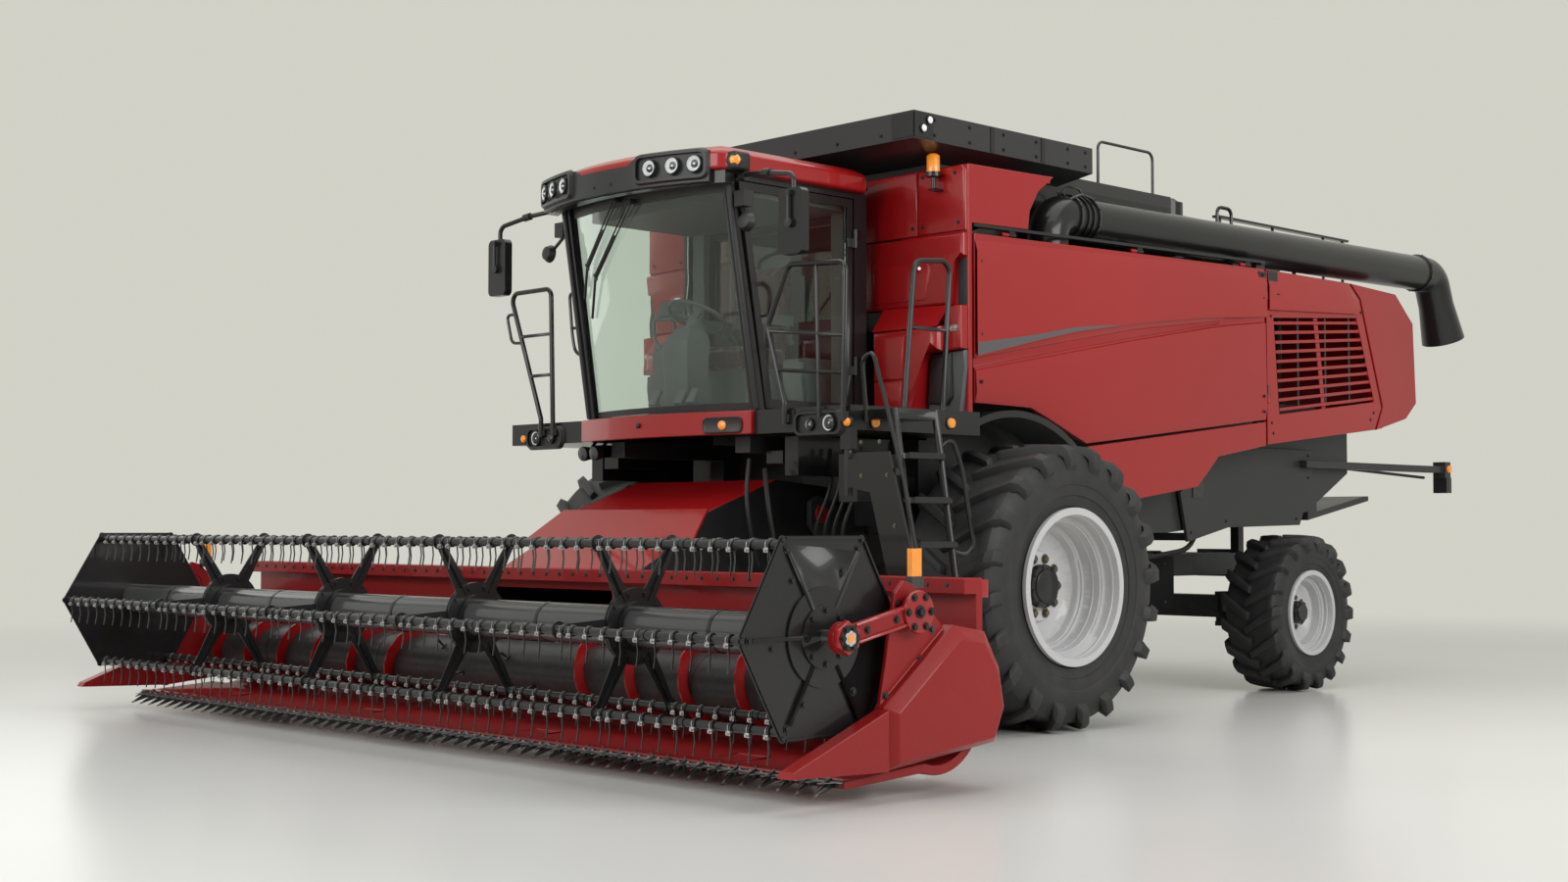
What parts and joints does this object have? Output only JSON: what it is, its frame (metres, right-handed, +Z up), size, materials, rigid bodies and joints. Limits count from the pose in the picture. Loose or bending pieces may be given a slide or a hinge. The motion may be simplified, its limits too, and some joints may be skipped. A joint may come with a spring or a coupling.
{
  "type": "combine harvester",
  "caption": "Self-propelled grain harvester with a wide reel header, a glazed cab, a flared grain tank and a swinging unloading tube, on four wheels.",
  "frame": {"origin": "on the ground, under the middle of the machine's overall box", "axes": "+X to the machine's left, -Y to its front where the header is, +Z up"},
  "size_m": [7.26, 10.76, 4.131],
  "materials": {
    "red_paint": "gloss",
    "black_paint": "semi-gloss",
    "grey_paint": "satin",
    "rim_paint": "satin",
    "tyre_rubber": "matt",
    "tinted_glass": "clear",
    "dark_plastic": "fine grain",
    "chair_fabric": "woven",
    "knife_steel": "worn",
    "amber_plastic": "clear amber",
    "cast_grey": "painted"
  },
  "bodies": {
    "chassis": {"beacon": "amber_plastic", "body_panels": "red_paint", "cab_controls": "dark_plastic", "cab_frame": "black_paint", "cab_glass": "tinted_glass", "cab_roof": "red_paint", "chair_cushions": "chair_fabric", "door_rails": "black_paint", "engine_block": "cast_grey", "engine_deck": "black_paint", "front_axle": "grey_paint", "front_bumper": "red_paint", "grain_tank": "black_paint", "guard_rails": "black_paint", "main_frame": "grey_paint", "mirrors": "dark_plastic", "platforms": "black_paint", "rear_axle": "grey_paint", "rear_hood": "red_paint", "rear_lamp_arms": "grey_paint", "roof_visor": "black_paint", "separator_casing": "grey_paint", "side_skirts": "red_paint", "spreader_pan": "grey_paint", "tank_extension": "black_paint", "unloader_turret": "black_paint"},
    "front_wheel_left": {"tyre_front_left": "tyre_rubber", "rim_front_left": "rim_paint"},
    "front_wheel_right": {"tyre_front_right": "tyre_rubber", "rim_front_right": "rim_paint"},
    "rear_wheel_left": {"tyre_rear_left": "tyre_rubber", "rim_rear_left": "rim_paint"},
    "rear_wheel_right": {"tyre_rear_right": "tyre_rubber", "rim_rear_right": "rim_paint"},
    "steering_left": {"knuckle_left": "grey_paint"},
    "steering_right": {"knuckle_right": "grey_paint"},
    "header": {"feeder_house": "red_paint", "header_frame": "red_paint", "header_ends": "red_paint", "knife_bar": "knife_steel"},
    "crop_auger": {"cross_auger": "black_paint"},
    "reel_frame": {"reel_arms": "red_paint"},
    "reel": {"reel_rotor": "black_paint"},
    "cylinder_barrels": {"lift_barrels": "black_paint"},
    "cylinder_rods": {"lift_rods": "black_paint"},
    "cab_door": {"cab_door_frame": "black_paint", "cab_door_glass": "tinted_glass"},
    "unloader": {"unloading_tube": "black_paint"},
    "service_door_left": {"side_door_left": "red_paint"},
    "service_door_right": {"side_door_right": "red_paint"},
    "rear_door_left": {"grille_door_left": "red_paint"},
    "rear_door_right": {"grille_door_right": "red_paint"},
    "boarding_ladder": {"ladder": "black_paint"},
    "bat_1": {"reel_bat_1": "black_paint"},
    "bat_2": {"reel_bat_2": "black_paint"},
    "bat_3": {"reel_bat_3": "black_paint"},
    "bat_4": {"reel_bat_4": "black_paint"},
    "bat_5": {"reel_bat_5": "black_paint"},
    "bat_6": {"reel_bat_6": "black_paint"}
  },
  "joints": [
    {"name": "front_wheel_left_spin", "type": "hinge", "parent": "chassis", "child": "front_wheel_left", "pos_m": [1.86, -1.32, 0.914], "axis": [1, 0, 0], "continuous": true},
    {"name": "steer_left", "type": "hinge", "parent": "chassis", "child": "steering_left", "pos_m": [0.9, 2.527, 0.617], "axis": [0, 0, 1], "range_deg": [-30, 30]},
    {"name": "rear_wheel_left_spin", "type": "hinge", "parent": "steering_left", "child": "rear_wheel_left", "pos_m": [1.385, 2.527, 0.617], "axis": [1, 0, 0], "continuous": true},
    {"name": "front_wheel_right_spin", "type": "hinge", "parent": "chassis", "child": "front_wheel_right", "pos_m": [-1.86, -1.32, 0.914], "axis": [1, 0, 0], "continuous": true},
    {"name": "steer_right", "type": "hinge", "parent": "chassis", "child": "steering_right", "pos_m": [-0.9, 2.527, 0.617], "axis": [0, 0, 1], "range_deg": [-30, 30]},
    {"name": "rear_wheel_right_spin", "type": "hinge", "parent": "steering_right", "child": "rear_wheel_right", "pos_m": [-1.385, 2.527, 0.617], "axis": [1, 0, 0], "continuous": true},
    {"name": "header_lift", "type": "hinge", "parent": "chassis", "child": "header", "pos_m": [0, -2.12, 1.38], "axis": [-1, 0, 0], "range_deg": [0, 20]},
    {"name": "cylinder_swing", "type": "hinge", "parent": "chassis", "child": "cylinder_barrels", "pos_m": [0, -1.56, 0.61], "axis": [-1, 0, 0], "range_deg": [0, 12.99]},
    {"name": "cylinder_stroke", "type": "slide", "parent": "cylinder_barrels", "child": "cylinder_rods", "axis": [0, -0.9963, -0.0858], "range_m": [0, 0.26269]},
    {"name": "reel_height", "type": "hinge", "parent": "header", "child": "reel_frame", "pos_m": [0, -4.34, 0.89], "axis": [-1, 0, 0], "range_deg": [0, 25]},
    {"name": "reel_spin", "type": "hinge", "parent": "reel_frame", "child": "reel", "pos_m": [0, -4.84, 0.785], "axis": [1, 0, 0], "continuous": true},
    {"name": "bat_1_turn", "type": "hinge", "parent": "reel", "child": "bat_1", "pos_m": [0, -4.348, 0.785], "axis": [1, 0, 0], "continuous": true},
    {"name": "bat_2_turn", "type": "hinge", "parent": "reel", "child": "bat_2", "pos_m": [0, -4.594, 1.21108], "axis": [1, 0, 0], "continuous": true},
    {"name": "bat_3_turn", "type": "hinge", "parent": "reel", "child": "bat_3", "pos_m": [0, -5.086, 1.21108], "axis": [1, 0, 0], "continuous": true},
    {"name": "bat_4_turn", "type": "hinge", "parent": "reel", "child": "bat_4", "pos_m": [0, -5.332, 0.785], "axis": [1, 0, 0], "continuous": true},
    {"name": "bat_5_turn", "type": "hinge", "parent": "reel", "child": "bat_5", "pos_m": [0, -5.086, 0.35892], "axis": [1, 0, 0], "continuous": true},
    {"name": "bat_6_turn", "type": "hinge", "parent": "reel", "child": "bat_6", "pos_m": [0, -4.594, 0.35892], "axis": [1, 0, 0], "continuous": true},
    {"name": "auger_spin", "type": "hinge", "parent": "header", "child": "crop_auger", "pos_m": [0, -4.105, 0.425], "axis": [1, 0, 0], "continuous": true},
    {"name": "cab_door_swing", "type": "hinge", "parent": "chassis", "child": "cab_door", "pos_m": [0.876, -1.925, 2.76], "axis": [0, 0, 1], "range_deg": [0, 55]},
    {"name": "unloader_swing", "type": "hinge", "parent": "chassis", "child": "unloader", "pos_m": [1.395, -0.54, 3.3], "axis": [0, 0, -1], "range_deg": [0, 90]},
    {"name": "service_door_left_lift", "type": "hinge", "parent": "chassis", "child": "service_door_left", "pos_m": [1.58, 0.175, 3.268], "axis": [0, -0.9997, -0.023], "range_deg": [0, 70]},
    {"name": "rear_door_left_swing", "type": "hinge", "parent": "chassis", "child": "rear_door_left", "pos_m": [1.607, 1.912, 2.6], "axis": [0, 0, -1], "range_deg": [0, 90]},
    {"name": "service_door_right_lift", "type": "hinge", "parent": "chassis", "child": "service_door_right", "pos_m": [-1.58, 0.175, 3.268], "axis": [0, 0.9997, 0.023], "range_deg": [0, 70]},
    {"name": "rear_door_right_swing", "type": "hinge", "parent": "chassis", "child": "rear_door_right", "pos_m": [-1.607, 1.912, 2.6], "axis": [0, 0, 1], "range_deg": [0, 90]},
    {"name": "ladder_swing", "type": "hinge", "parent": "chassis", "child": "boarding_ladder", "pos_m": [1.655, -2.8, 1.6], "axis": [0, 0, -1], "range_deg": [0, 80]}
  ],
  "couplings": [
    {"joint": "steer_right", "follows": "steer_left", "ratio": 1},
    {"joint": "cylinder_swing", "follows": "header_lift", "ratio": 0.64885},
    {"joint": "cylinder_stroke", "follows": "header_lift", "m_per_rad": 0.75198},
    {"joint": "bat_1_turn", "follows": "reel_spin", "ratio": -1},
    {"joint": "bat_2_turn", "follows": "reel_spin", "ratio": -1},
    {"joint": "bat_3_turn", "follows": "reel_spin", "ratio": -1},
    {"joint": "bat_4_turn", "follows": "reel_spin", "ratio": -1},
    {"joint": "bat_5_turn", "follows": "reel_spin", "ratio": -1},
    {"joint": "bat_6_turn", "follows": "reel_spin", "ratio": -1}
  ]
}
